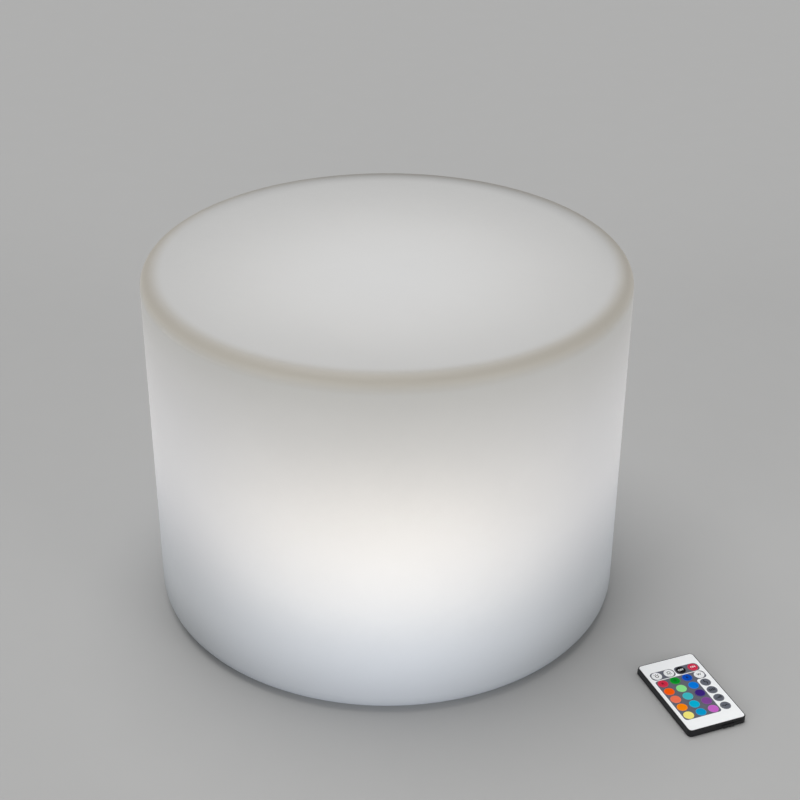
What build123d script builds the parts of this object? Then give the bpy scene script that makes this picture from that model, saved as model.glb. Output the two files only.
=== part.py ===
from build123d import *
import math
import os

# A drum stool of milky rotomoulded plastic, lit from its base by a light unit with its own
# battery, and the flat hand remote that lies on the floor beside it.
# Lengths are in millimetres. The drum's axis is Z, the floor is Z = 0 and the front is -Y.

# Drum shell
drum_diameter = 400.0
drum_height = 305.0
shell_wall = 5.0
rim_radius = 11.0
foot_radius = 15.0
recess_diameter = 232.0
recess_draft = 6.0
recess_depth = 16.0
recess_edge_radius = 7.0
recess_corner_radius = 4.0
mouth_diameter = 160.0
least_radius = 1.0

# Light unit flange, the six screws that hold it and their threaded inserts
flange_overlap = 19.0
flange_thickness = 3.5
flange_edge_radius = 1.2
seal_gap = 1.0
seal_width = 3.0
seal_groove_depth = 1.6
seal_land = 2.2
seal_round = 0.7
flange_screw_count = 6
flange_screw_inset = 7.5
flange_screw_radius = 2.0
flange_screw_length = 12.0
flange_screw_head_radius = 4.0
flange_screw_head_height = 2.6
insert_wall = 1.2
insert_length = 9.0
insert_groove_width = 1.6
insert_groove_depth = 0.4
boss_wall = 3.6
boss_floor = 3.0

# Clearances
screw_gap = 0.05
hole_gap = 0.25
fit_gap = 0.3
stack_gap = 0.1

# Light unit tray
cup_gap = 3.0
cup_wall = 2.5
cup_height = 34.0
boss_radius = 4.2
pilot_depth = 9.0

# Small screws that hold the lens, the lamp board, the strap and the control board
small_screw_radius = 1.5
small_screw_length = 8.0
small_screw_head_radius = 2.75
small_screw_head_height = 2.0
screw_slot_width = 0.8

# Lens, reflector, lamp board and lamps
lens_seal_thickness = 1.0
lens_flange_thickness = 3.0
lens_wall = 2.0
lens_rise = 26.0
lens_screw_count = 4
post_radius = 4.0
post_count = 3
deck_drop = 5.0
reflector_thickness = 2.0
lamp_board_thickness = 1.6
lamp_board_margin = 8.0
lamp_width = 5.0
lamp_height = 1.6
lamp_window_radius = 2.1
lamp_window_depth = 0.5
first_ring_lamp_count = 6
receiver_width = 6.0
receiver_depth = 4.0
receiver_height = 7.0
receiver_lens_radius = 2.2
lead_hole_radius = 2.6

# Battery of two round cells, in a cradle under a strap
cell_radius = 9.2
cell_length = 65.2
cell_button_radius = 2.8
cell_button_height = 1.0
cell_round = 1.0
cell_spacing_gap = 0.6
cell_lift = 1.5
cradle_thickness = 2.4
cradle_spread = 44.0
strap_width = 12.0
strap_thickness = 1.5
strap_post_radius = 3.5

# Control board and what is soldered to it
control_board_width = 56.0
control_board_depth = 36.0
control_board_thickness = 1.6
control_board_lift = 10.0
control_board_corner = 2.0
control_post_radius = 3.2
connector_width = 8.0
connector_depth = 6.0
connector_height = 6.0
chip_width = 9.0
chip_depth = 6.0
chip_height = 1.7
coil_radius = 5.0
coil_height = 5.5
coil_waist = 1.2
coil_flange = 1.0
capacitor_radius = 3.2
capacitor_height = 8.0
indicator_lamp_radius = 1.5
indicator_lamp_height = 2.0
window_radius = 1.5
window_head_radius = 2.4
window_head_height = 0.8

# Power switch and charging jack, both held in the tray's plate by a nut
port_spread = 92.0
port_front = 24.0
barrel_radius = 6.0
barrel_inside = 15.0
bezel_radius = 7.6
bezel_thickness = 2.0
bezel_round = 0.8
nut_width = 15.0
nut_thickness = 2.6
terminal_width = 3.0
terminal_thickness = 0.8
terminal_length = 5.0
terminal_pitch = 3.0
switch_terminals = 2
jack_terminals = 3
switch_neck_radius = 4.5
switch_bore_radius = 5.1
switch_bore_depth = 9.0
button_gap = 0.15
button_round = 0.8
button_shoulder = 1.5
button_travel = 1.5
button_pressed_proud = 0.5
spring_radius = 3.4
spring_wire_radius = 0.3
spring_turns = 4
socket_radius = 3.2
socket_depth = 10.0
socket_pin_radius = 1.05
socket_pin_set_back = 3.2

# Rubber cap of the charging jack, its strap and the post that anchors it
cap_radius = 8.2
cap_thickness = 1.8
cap_stub_radius = 2.8
cap_stub_taper = 0.5
cap_stub_length = 2.6
cap_strap_width = 5.0
cap_strap_thickness = 1.2
cap_tab_width = 6.0
cap_tab_reach = 2.8
cap_hinge_reach = 11.0
cap_anchor_radius = 3.5
cap_stem_radius = 1.4
cap_barb_radius = 2.1
cap_barb_height = 1.2

# Inner leads
wire_radius = 0.7
wire_spacing = 2.4
wire_bend = 4.0

# Remote: case, film and keys
remote_x = 246.0
remote_y = -180.0
remote_turn = 21.0
remote_width = 52.0
remote_length = 86.0
remote_corner = 3.5
lower_case_height = 4.4
upper_case_height = 2.2
case_wall = 1.2
case_floor = 0.9
case_top = 0.9
case_foot_radius = 0.9
case_rim_radius = 0.4
film_inset = 0.9
film_pocket = 0.25
film_thickness = 0.35
film_gap = 0.1
key_names = [
    ["brighter", "dimmer", "off", "on"],
    ["red", "green", "blue", "white"],
    ["orange", "pale_green", "sky_blue", "flash"],
    ["salmon", "teal", "indigo", "strobe"],
    ["amber", "cyan", "purple", "fade"],
    ["yellow", "azure", "pink", "smooth"],
]
key_side_margin = 3.95
key_top_margin = 11.8
key_bottom_margin = 12.2
key_column_gap = 2.5
key_row_gap = 1.6
key_proud = 0.35
key_crown_radius = 0.25
key_lip = 1.35
key_travel = 0.25
key_seat_gap = 0.05

# Remote: board, domes, emitter, battery drawer and contacts
keypad_board_thickness = 0.8
dome_radius = 3.0
dome_height = 0.3
case_pillar_radius = 2.4
emitter_radius = 1.4
emitter_flange_radius = 1.65
emitter_flange_length = 1.0
emitter_length = 5.0
emitter_proud = 0.5
emitter_lead_radius = 0.25
emitter_lead_gap = 1.2
drawer_side_gap = 1.95
drawer_width = 24.0
drawer_length = 27.0
drawer_floor = 0.4
drawer_slide_gap = 0.15
drawer_handle = 3.0
drawer_lip_width = 10.0
drawer_lip_proud = 0.8
drawer_rib_count = 3
drawer_rib_depth = 0.4
drawer_latch_slot = 0.8
drawer_latch_arm = 0.5
drawer_rail = 1.2
nail_notch_radius = 5.0
coin_radius = 10.0
coin_thickness = 2.5
coin_round = 0.3
contact_width = 3.0
contact_thickness = 0.15
contact_length = 12.0
contact_foot = 2.0

# Overrun of a cutting shape past the face that it cuts
overrun = 1.0

# Shares of the sizes that they follow
slot_length_share = 0.62
slot_depth_share = 0.6
head_round_share = 0.55
lamp_ring_shares = (0.36, 0.76)


def disc(radius, low, high, at=(0, 0)):
    """A round bar along Z from low to high."""
    return extrude(Pos(at[0], at[1], low) * Circle(radius), high - low)


def ring(outer, inner, low, high, at=(0, 0)):
    """A plain ring along Z from low to high."""
    return disc(outer, low, high, at) - disc(inner, low, high, at)


def slab(width, depth, low, high, at=(0, 0), corner=0):
    """A plate with rounded corners from low to high."""
    outline = RectangleRounded(width, depth, corner) if corner else Rectangle(width, depth)
    return extrude(Pos(at[0], at[1], low) * outline, high - low)


def turned(points, radii=None):
    """A solid of revolution about Z, from an outline of radius and height, with any rounded corners."""
    if radii is None:
        outline = Polyline(*points, close=True)
    else:
        outline = FilletPolyline(*points, radius=radii, close=True)
    return revolve(Plane.XZ * make_face(outline), Axis.Z)


def around(count, radius, start=0):
    """Places evenly spaced on a circle about Z, the first at the start angle."""
    return [
        (
            radius * math.cos(math.radians(start + 360 * i / count)),
            radius * math.sin(math.radians(start + 360 * i / count)),
        )
        for i in range(count)
    ]


def group(solids):
    """Separate solids that share one node."""
    return Compound([solid for piece in solids for solid in piece.solids()])


def pan_screw(radius, length, head_radius, head_height):
    """A cross-head screw along Z: the head stands on Z = 0 and the shank hangs below it."""
    rounding = head_height * head_round_share
    head = turned(
        [(0, 0), (head_radius, 0), (head_radius, head_height), (0, head_height)],
        [0, 0, rounding, 0],
    )
    slot = Box(
        2 * head_radius * slot_length_share,
        screw_slot_width,
        2 * head_height * slot_depth_share,
    )
    slot = Pos(0, 0, head_height) * (slot + Rot(0, 0, 90) * slot)
    tip = radius / 2
    shank = turned(
        [(0, -length), (radius - tip, -length), (radius, tip - length), (radius, 0), (0, 0)]
    )
    return head + shank - slot


# Drum shell: levels and radii
drum_radius = drum_diameter / 2
recess_foot_radius = recess_diameter / 2
recess_top_radius = recess_foot_radius - recess_draft
mouth_radius = mouth_diameter / 2
ceiling_low = recess_depth
ceiling_high = recess_depth + shell_wall

# Light unit: levels from the plate up
flange_high = ceiling_low - seal_gap
plate_low = flange_high - flange_thickness
cup_high = flange_high + cup_height
lens_flange_low = cup_high + lens_seal_thickness
lens_flange_high = lens_flange_low + lens_flange_thickness
deck_low = cup_high - deck_drop
deck_high = deck_low + reflector_thickness
lamp_board_high = deck_high + lamp_board_thickness

# Light unit: radii
flange_radius = mouth_radius + flange_overlap
cup_radius = mouth_radius - cup_gap
cup_bore_radius = cup_radius - cup_wall
flange_screw_circle = flange_radius - flange_screw_inset
insert_bore_radius = flange_screw_radius + screw_gap
insert_radius = insert_bore_radius + insert_wall
boss_outer_radius = insert_radius + boss_wall
seal_radius = mouth_radius + seal_land + seal_width / 2
lens_screw_circle = cup_radius - boss_radius
pilot_radius = small_screw_radius + screw_gap
lens_bore_radius = lens_screw_circle - boss_radius
reflector_radius = lens_bore_radius - fit_gap
lamp_board_radius = reflector_radius - lamp_board_margin
post_circle = lamp_board_radius - post_radius - fit_gap

# Control board: place, and its four posts
control_y = -(post_circle - post_radius - fit_gap - control_board_depth / 2)
control_low = flange_high + control_board_lift
control_high = control_low + control_board_thickness
control_post_x = control_board_width / 2 - control_post_radius - stack_gap
control_post_y = control_board_depth / 2 - control_post_radius - stack_gap
control_posts = [
    (sx * control_post_x, control_y + sy * control_post_y) for sx in (-1, 1) for sy in (-1, 1)
]

# Battery: place of the two cells and of the strap's two posts
strap_post_inner_y = control_y + control_board_depth / 2 + fit_gap + strap_post_radius
cell_pitch = 2 * cell_radius + cell_spacing_gap
cell_inner_y = strap_post_inner_y + strap_post_radius + fit_gap + cell_radius
cell_places = (cell_inner_y, cell_inner_y + cell_pitch)
strap_post_outer_y = cell_places[1] + cell_radius + fit_gap + strap_post_radius
cell_axis_high = flange_high + cell_lift + cell_radius
strap_low = cell_axis_high + cell_radius + fit_gap
strap_high = strap_low + strap_thickness

# Ports: the switch on the left and the jack on the right
port_x = port_spread / 2
switch_place = (-port_x, -port_front)
jack_place = (port_x, -port_front)
bezel_low = plate_low - bezel_thickness
barrel_high = flange_high + barrel_inside
barrel_hole_radius = barrel_radius + screw_gap
spring_seat = plate_low + switch_bore_depth
shoulder_low = plate_low + stack_gap
shoulder_high = shoulder_low + button_shoulder
indicator_place = (0, control_y)

# Cap of the jack: levels, hinge and anchor
cap_high = bezel_low - stack_gap
cap_low = cap_high - cap_thickness
cap_hinge_x = jack_place[0] + cap_hinge_reach
cap_anchor_x = cap_hinge_x + fit_gap + cap_anchor_radius
cap_anchor_place = (cap_anchor_x, jack_place[1])

board_screw_places = around(post_count, post_circle, 270)
lens_screw_places = around(lens_screw_count, lens_screw_circle, 45)
flange_screw_places = around(flange_screw_count, flange_screw_circle, 0)
strap_post_places = [(0, strap_post_inner_y), (0, strap_post_outer_y)]


def make_shell():
    """The rotomoulded drum: seat, wall, foot ring and the recess in its base, with six blind bosses."""
    outside = turned(
        [
            (0, ceiling_low),
            (recess_top_radius, ceiling_low),
            (recess_foot_radius, 0),
            (drum_radius, 0),
            (drum_radius, drum_height),
            (0, drum_height),
        ],
        [0, recess_corner_radius, recess_edge_radius, foot_radius, rim_radius, 0],
    )
    hollow = turned(
        [
            (0, ceiling_high),
            (recess_top_radius + shell_wall, ceiling_high),
            (recess_foot_radius + shell_wall, shell_wall),
            (drum_radius - shell_wall, shell_wall),
            (drum_radius - shell_wall, drum_height - shell_wall),
            (0, drum_height - shell_wall),
        ],
        [
            0,
            recess_corner_radius + shell_wall,
            max(recess_edge_radius - shell_wall, least_radius),
            max(foot_radius - shell_wall, least_radius),
            max(rim_radius - shell_wall, least_radius),
            0,
        ],
    )
    shell = outside - hollow
    boss_high = ceiling_low + insert_length + boss_floor
    for at in flange_screw_places:
        shell += disc(boss_outer_radius, ceiling_low, boss_high, at)
    shell -= disc(mouth_radius, 0, boss_high + overrun)
    for at in flange_screw_places:
        shell -= disc(insert_radius + screw_gap, 0, ceiling_low + insert_length, at)
    return shell


def make_thread_inserts():
    """Six brass inserts with a grip groove, moulded into the shell's bosses."""
    groove_low = ceiling_low + (insert_length - insert_groove_width) / 2
    inserts = []
    for at in flange_screw_places:
        insert = ring(insert_radius, insert_bore_radius, ceiling_low, ceiling_low + insert_length, at)
        insert -= ring(
            insert_radius + overrun,
            insert_radius - insert_groove_depth,
            groove_low,
            groove_low + insert_groove_width,
            at,
        )
        inserts.append(insert)
    return group(inserts)


def make_flange_screws():
    """Six screws that clamp the light unit's flange up against the shell."""
    screw = pan_screw(
        flange_screw_radius,
        flange_screw_length,
        flange_screw_head_radius,
        flange_screw_head_height,
    )
    return group(Pos(x, y, plate_low) * Rot(180, 0, 0) * screw for x, y in flange_screw_places)


def make_flange_seal():
    """The soft ring in the flange's groove, pressed against the shell's ceiling."""
    inner, outer = seal_radius - seal_width / 2, seal_radius + seal_width / 2
    low = flange_high - seal_groove_depth
    return turned(
        [(inner, low), (outer, low), (outer, ceiling_low), (inner, ceiling_low)],
        [seal_round] * 4,
    )


def make_tray_body():
    """The turned part of the tray: a flanged plate with a cup that rises into the drum."""
    tray = turned(
        [
            (0, plate_low),
            (flange_radius, plate_low),
            (flange_radius, flange_high),
            (cup_radius, flange_high),
            (cup_radius, cup_high),
            (cup_bore_radius, cup_high),
            (cup_bore_radius, flange_high),
            (0, flange_high),
        ],
        [0, flange_edge_radius, 0, 0, 0, 0, 0, 0],
    )
    groove = seal_width / 2 + stack_gap
    return tray - ring(
        seal_radius + groove, seal_radius - groove, flange_high - seal_groove_depth, flange_high
    )


def make_cradle():
    """Two ribs on the tray's floor, each hollowed for both cells."""
    depth = cell_pitch + 2 * cell_radius
    centre_y = sum(cell_places) / 2
    ribs = Part()
    for side in (-1, 1):
        ribs += slab(
            cradle_thickness,
            depth,
            flange_high,
            cell_axis_high - cell_lift,
            (side * cradle_spread / 2, centre_y),
        )
    for y in cell_places:
        bed = Cylinder(cell_radius + stack_gap, cell_length)
        ribs -= Pos(0, y, cell_axis_high) * Rot(0, 90, 0) * bed
    return ribs


def make_light_unit_tray():
    """The tray with its posts, pilot holes, port holes and battery cradle."""
    tray = make_tray_body() + make_cradle()
    posts = [(at, boss_radius, cup_high) for at in lens_screw_places]
    posts += [(at, post_radius, deck_low) for at in board_screw_places]
    posts += [(at, strap_post_radius, strap_low) for at in strap_post_places]
    posts += [(at, control_post_radius, control_low) for at in control_posts]
    for at, radius, high in posts:
        tray += disc(radius, flange_high, high, at)
    for at, _, high in posts:
        tray -= disc(pilot_radius, high - pilot_depth, high, at)
    for at in (switch_place, jack_place):
        tray -= disc(barrel_hole_radius, plate_low, flange_high, at)
    for at in flange_screw_places:
        tray -= disc(flange_screw_radius + hole_gap, plate_low, flange_high, at)
    tray -= disc(window_radius + screw_gap, plate_low, flange_high, indicator_place)
    return tray - disc(cap_stem_radius + screw_gap, plate_low, flange_high, cap_anchor_place)


def make_reflector_plate():
    """The white plate that closes the cup under the lens."""
    plate = disc(reflector_radius, deck_low, deck_high)
    for at in board_screw_places:
        plate -= disc(small_screw_radius + hole_gap, deck_low, deck_high, at)
    return plate - disc(lead_hole_radius, deck_low, deck_high, lamp_connector_place())


def make_lamp_board():
    """The round metal-core board that carries the lamps."""
    board = disc(lamp_board_radius, deck_high, lamp_board_high)
    for at in board_screw_places:
        board -= disc(small_screw_radius + hole_gap, deck_high, lamp_board_high, at)
    return board


def make_lamp_chips():
    """Square lamps in two rings, each with a round hollow for its window."""
    lamps = []
    for index, share in enumerate(lamp_ring_shares):
        count = first_ring_lamp_count * (index + 1)
        for step, at in enumerate(around(count, lamp_board_radius * share)):
            high = lamp_board_high + lamp_height
            lamp = slab(lamp_width, lamp_width, 0, high - lamp_board_high)
            lamp -= disc(lamp_window_radius, lamp_height - lamp_window_depth, lamp_height)
            lamps.append(Pos(at[0], at[1], lamp_board_high) * Rot(0, 0, 360 * step / count) * lamp)
    return group(lamps)


def make_ir_receiver():
    """The receiver at the middle of the lamp board, with a round lens on its front."""
    high = lamp_board_high + receiver_height
    body = slab(receiver_width, receiver_depth, lamp_board_high, high)
    lens_high = high - receiver_width / 2
    lens = Pos(0, -receiver_depth / 2, lens_high) * Sphere(receiver_lens_radius)
    return body + lens


def make_lens():
    """The domed lens over the lamps, with a flange that is screwed to the cup."""
    rise = lens_flange_high + lens_rise
    base = lens_bore_radius + lens_wall

    def dome(radius, high):
        dome_rise = high - lens_flange_high
        sphere_radius = (radius**2 + dome_rise**2) / (2 * dome_rise)
        half_angle = math.asin(radius / sphere_radius) / 2
        crown = (
            sphere_radius * math.sin(half_angle),
            high - sphere_radius * (1 - math.cos(half_angle)),
        )
        outline = [
            Line((0, lens_flange_low), (radius, lens_flange_low)),
            Line((radius, lens_flange_low), (radius, lens_flange_high)),
            ThreePointArc((radius, lens_flange_high), crown, (0, high)),
            Line((0, high), (0, lens_flange_low)),
        ]
        return revolve(Plane.XZ * make_face(outline), Axis.Z)

    flange = ring(cup_radius, lens_bore_radius, lens_flange_low, lens_flange_high)
    lens = flange + dome(base, rise) - dome(lens_bore_radius, rise - lens_wall)
    for at in lens_screw_places:
        lens -= disc(small_screw_radius + hole_gap, lens_flange_low, lens_flange_high, at)
        lens -= disc(
            small_screw_head_radius + hole_gap,
            lens_flange_high,
            lens_flange_high + lens_rise,
            at,
        )
    return lens


def make_lens_seal():
    """The flat seal between the cup's rim and the lens."""
    seal = ring(cup_radius, lens_bore_radius, cup_high, lens_flange_low)
    for at in lens_screw_places:
        seal -= disc(small_screw_radius + hole_gap, cup_high, lens_flange_low, at)
    return seal


def make_housing_screws():
    """The identical small screws of the lens, lamp board, strap and control board."""
    screw = pan_screw(
        small_screw_radius,
        small_screw_length,
        small_screw_head_radius,
        small_screw_head_height,
    )
    seats = [(at, lens_flange_high) for at in lens_screw_places]
    seats += [(at, lamp_board_high) for at in board_screw_places]
    seats += [(at, strap_high) for at in strap_post_places]
    seats += [(at, control_high) for at in control_posts]
    return group(Pos(at[0], at[1], high) * screw for at, high in seats)


def make_battery_cells():
    """Two round cells side by side, each with its raised end."""
    half = cell_length / 2
    cell = Cylinder(cell_radius, cell_length)
    cell = fillet(cell.edges().filter_by(GeomType.CIRCLE), cell_round)
    cell += disc(cell_button_radius, half, half + cell_button_height)
    cells = []
    for turn, y in zip((90, -90), cell_places):
        cells.append(Pos(0, y, cell_axis_high) * Rot(0, turn, 0) * cell)
    return group(cells)


def make_battery_strap():
    """The strap across both cells, screwed to a post at each end."""
    length = strap_post_outer_y - strap_post_inner_y + 2 * strap_post_radius
    centre = (0, (strap_post_inner_y + strap_post_outer_y) / 2)
    strap = slab(strap_width, length, strap_low, strap_high, centre, strap_post_radius)
    for at in strap_post_places:
        strap -= disc(small_screw_radius + hole_gap, strap_low, strap_high, at)
    return strap


def make_control_board():
    """The control board on its four posts."""
    board = slab(
        control_board_width,
        control_board_depth,
        control_low,
        control_high,
        (0, control_y),
        control_board_corner,
    )
    for at in control_posts:
        board -= disc(small_screw_radius + hole_gap, control_low, control_high, at)
    return board


def battery_connector_place():
    """Where the battery lead's connector stands on the control board."""
    return (
        -control_post_x + control_post_radius + connector_width,
        control_y + control_board_depth / 2 - connector_depth / 2,
    )


def lamp_connector_place():
    """Where the lamp lead's connector stands on the control board, under its hole in the reflector."""
    x, y = battery_connector_place()
    return (-x, y)


def make_control_parts():
    """Connectors, chip, coil and capacitors on the board, and the indicator lamp under it."""
    high = control_high
    parts = [
        slab(connector_width, connector_depth, high, high + connector_height, at)
        for at in (battery_connector_place(), lamp_connector_place())
    ]
    parts.append(slab(chip_width, chip_depth, high, high + chip_height, (0, control_y)))
    coil_x = chip_width / 2 + fit_gap + coil_radius
    coil = turned(
        [
            (0, high),
            (coil_radius, high),
            (coil_radius, high + coil_flange),
            (coil_radius - coil_waist, high + coil_flange),
            (coil_radius - coil_waist, high + coil_height - coil_flange),
            (coil_radius, high + coil_height - coil_flange),
            (coil_radius, high + coil_height),
            (0, high + coil_height),
        ]
    )
    parts.append(Pos(coil_x, control_y, 0) * coil)
    for side in (-1, 0):
        x = -chip_width / 2 - fit_gap - capacitor_radius + side * (2 * capacitor_radius + fit_gap)
        parts.append(disc(capacitor_radius, high, high + capacitor_height, (x, control_y)))
    parts.append(
        disc(
            indicator_lamp_radius,
            control_low - indicator_lamp_height,
            control_low,
            indicator_place,
        )
    )
    return group(parts)


def make_indicator_window():
    """The clear light pipe that carries the indicator's light down through the plate."""
    pipe_high = control_low - indicator_lamp_height - fit_gap
    head = disc(window_head_radius, plate_low - window_head_height, plate_low, indicator_place)
    return head + disc(window_radius, plate_low, pipe_high, indicator_place)


def terminals(count, at):
    """Flat solder tags that stand on the back of a panel part."""
    tags = Part()
    for i in range(count):
        x = at[0] + (i - (count - 1) / 2) * terminal_pitch
        tags += slab(
            terminal_thickness,
            terminal_width,
            barrel_high,
            barrel_high + terminal_length,
            (x, at[1]),
        )
    return tags


def barrel(at):
    """The barrel and bezel that the switch and the jack share."""
    bezel = turned(
        [(0, bezel_low), (bezel_radius, bezel_low), (bezel_radius, plate_low), (0, plate_low)],
        [0, bezel_round, 0, 0],
    )
    return Pos(at[0], at[1], 0) * bezel + disc(barrel_radius, plate_low, barrel_high, at)


def make_switch_body():
    """The power switch's body, with a neck that keeps the button in."""
    body = barrel(switch_place) + terminals(switch_terminals, switch_place)
    body -= disc(switch_neck_radius, bezel_low, plate_low, switch_place)
    return body - disc(switch_bore_radius, plate_low, spring_seat, switch_place)


def make_power_button():
    """The button: a cap that shows through the neck and a shoulder behind it."""
    low = bezel_low - button_pressed_proud - button_travel
    cap_radius_fit = switch_neck_radius - button_gap
    shoulder_radius = switch_bore_radius - button_gap
    button = turned(
        [
            (0, low),
            (cap_radius_fit, low),
            (cap_radius_fit, shoulder_low),
            (shoulder_radius, shoulder_low),
            (shoulder_radius, shoulder_high),
            (0, shoulder_high),
        ],
        [0, button_round, 0, 0, 0, 0],
    )
    return Pos(switch_place[0], switch_place[1], 0) * button


def make_switch_spring():
    """The return spring between the button's shoulder and the switch's inner end."""
    low = shoulder_high + spring_wire_radius
    height = spring_seat - spring_wire_radius - low
    path = Helix(height / spring_turns, height, spring_radius)
    section = Plane(origin=path @ 0, z_dir=path % 0) * Circle(spring_wire_radius)
    coil = sweep(section, path=path, is_frenet=True)
    return Pos(switch_place[0], switch_place[1], low) * coil


def make_charge_jack():
    """The charging jack's body, a blind round socket."""
    body = barrel(jack_place) + terminals(jack_terminals, jack_place)
    return body - disc(socket_radius, bezel_low, bezel_low + socket_depth, jack_place)


def make_jack_pin():
    """The centre pin, set back inside the socket."""
    low = bezel_low + socket_pin_set_back
    pin = turned(
        [
            (0, low),
            (socket_pin_radius, low),
            (socket_pin_radius, bezel_low + socket_depth),
            (0, bezel_low + socket_depth),
        ],
        [0, socket_pin_radius / 2, 0, 0],
    )
    return Pos(jack_place[0], jack_place[1], 0) * pin


def make_panel_nuts():
    """The two hexagonal nuts inside the tray."""
    outline = RegularPolygon(nut_width / 2, 6, major_radius=False)
    nuts = []
    for at in (switch_place, jack_place):
        nut = extrude(Pos(at[0], at[1], flange_high) * outline, nut_thickness)
        nuts.append(nut - disc(barrel_hole_radius, flange_high, flange_high + nut_thickness, at))
    return group(nuts)


def make_charge_port_cap():
    """The rubber cap: a disc over the bezel with a finger tab, a tapered stub and its strap."""
    x, y = jack_place
    cap = disc(cap_radius, cap_low, cap_high, jack_place)
    tab_end = cap_radius + cap_tab_reach - cap_tab_width / 2
    cap += slab(tab_end, cap_tab_width, cap_low, cap_high, (x - tab_end / 2, y))
    cap += disc(cap_tab_width / 2, cap_low, cap_high, (x - tab_end, y))
    stub = turned(
        [
            (0, cap_high),
            (cap_stub_radius, cap_high),
            (cap_stub_radius - cap_stub_taper, cap_high + cap_stub_length),
            (0, cap_high + cap_stub_length),
        ]
    )
    strap = slab(
        cap_hinge_reach,
        cap_strap_width,
        cap_low,
        cap_low + cap_strap_thickness,
        (x + cap_hinge_reach / 2, y),
    )
    return cap + Pos(x, y, 0) * stub + strap


def make_cap_anchor():
    """The rubber post that holds the strap's end, snapped through the plate."""
    post = disc(cap_anchor_radius, cap_low, plate_low, cap_anchor_place)
    post += disc(cap_stem_radius, plate_low, flange_high, cap_anchor_place)
    return post + disc(cap_barb_radius, flange_high, flange_high + cap_barb_height, cap_anchor_place)


def wire(points):
    """A wire of round section along straight runs joined by arcs."""
    path = FilletPolyline(*points, radius=wire_bend)
    section = Plane(origin=path @ 0, z_dir=path % 0) * Circle(wire_radius)
    return sweep(section, path=path)


def make_battery_lead():
    """Two wires from the battery's end, over the cells' ends and down into the connector."""
    plug_x, plug_y = battery_connector_place()
    plug_high = control_high + connector_height
    start_x = -cell_length / 2
    start_high = cell_axis_high + cell_button_radius + 2 * wire_radius
    over = (strap_high + deck_low) / 2
    wires = []
    for side, y in zip((-1, 1), cell_places):
        wires.append(
            wire(
                [
                    (start_x, y, start_high),
                    (start_x - 2 * wire_bend, y, start_high),
                    (start_x - 2 * wire_bend, y, over),
                    (plug_x + side * wire_spacing / 2, plug_y, over),
                    (plug_x + side * wire_spacing / 2, plug_y, plug_high),
                ]
            )
        )
    return group(wires)


def make_lamp_lead():
    """Three wires straight up from their connector to the lamp board."""
    x, y = lamp_connector_place()
    low = control_high + connector_height
    pitch = 2 * (wire_radius + stack_gap)
    return group(
        disc(wire_radius, low, deck_high, (x + side * pitch, y)) for side in (-1, 0, 1)
    )


# Remote: levels from the floor up, in the remote's own frame
keypad_low = lower_case_height
keypad_high = keypad_low + keypad_board_thickness
case_high = lower_case_height + upper_case_height
plate_under = case_high - case_top
pocket_floor = case_high - film_pocket
film_high = pocket_floor + film_thickness
key_cap_low = pocket_floor + key_travel + key_seat_gap
key_cap_high = film_high + key_proud
dome_high = keypad_high + dome_height
key_stem_low = dome_high + key_travel + key_seat_gap

remote_half_width = remote_width / 2
remote_half_length = remote_length / 2
film_width = remote_width - 2 * film_inset
film_length = remote_length - 2 * film_inset
key_columns = len(key_names[0])
key_rows = len(key_names)
key_field_length = film_length - key_top_margin - key_bottom_margin
key_column_pitch = (film_width - 2 * key_side_margin + key_column_gap) / key_columns
key_row_pitch = (key_field_length + key_row_gap) / key_rows
key_radius = min(key_column_pitch - key_column_gap, key_row_pitch - key_row_gap) / 2
key_grid_shift = (key_top_margin - key_bottom_margin) / 2
key_stem_radius = key_radius - key_lip
stem_hole_radius = key_stem_radius + 2 * film_gap

key_places = [
    (
        (column - (key_columns - 1) / 2) * key_column_pitch,
        ((key_rows - 1) / 2 - row) * key_row_pitch - key_grid_shift,
    )
    for row in range(key_rows)
    for column in range(key_columns)
]
drawer_low = case_floor + drawer_slide_gap
drawer_high = drawer_low + drawer_floor + coin_thickness
drawer_slot = drawer_width + 2 * drawer_slide_gap
drawer_side = case_wall + drawer_side_gap + drawer_rail + drawer_slot / 2
drawer_centre = remote_half_width - drawer_side
coin_place = (drawer_centre, drawer_handle + coin_radius + fit_gap - remote_half_length)
coin_low = drawer_low + drawer_floor + key_seat_gap
emitter_level = (case_floor + lower_case_height) / 2
pillar_inset = case_wall + case_pillar_radius / 2
remote_place = Location((remote_x, remote_y, 0), (0, 0, remote_turn))


def make_lower_case():
    """The remote's back half: floor, wall, rails for the drawer and pillars for the board."""
    case = slab(remote_width, remote_length, 0, lower_case_height, corner=remote_corner)
    case = fillet(case.faces().sort_by(Axis.Z)[0].edges(), case_foot_radius)
    hollow = slab(
        remote_width - 2 * case_wall,
        remote_length - 2 * case_wall,
        case_floor,
        lower_case_height,
        corner=remote_corner - case_wall,
    )
    fittings = Part()
    rail_length = drawer_length + fit_gap
    for side in (-1, 1):
        rail_x = drawer_centre + side * (drawer_slot + drawer_rail) / 2
        fittings += slab(
            drawer_rail,
            rail_length,
            case_floor,
            lower_case_height,
            (rail_x, rail_length / 2 - remote_half_length),
        )
    for x in (-1, 1):
        fittings += disc(
            case_pillar_radius,
            case_floor,
            lower_case_height,
            (x * (remote_half_width - pillar_inset), remote_half_length - pillar_inset),
        )
    case = case - hollow + fittings
    slot = slab(
        drawer_slot,
        drawer_length + fit_gap,
        case_floor,
        lower_case_height,
        (drawer_centre, (drawer_length + fit_gap) / 2 - remote_half_length),
    )
    notch = disc(nail_notch_radius, 0, case_floor, (drawer_centre, -remote_half_length))
    eye = Pos(0, remote_half_length, emitter_level) * Rot(90, 0, 0) * Cylinder(
        emitter_radius + stack_gap, 2 * (case_wall + overrun)
    )
    return case - slot - notch - eye


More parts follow.
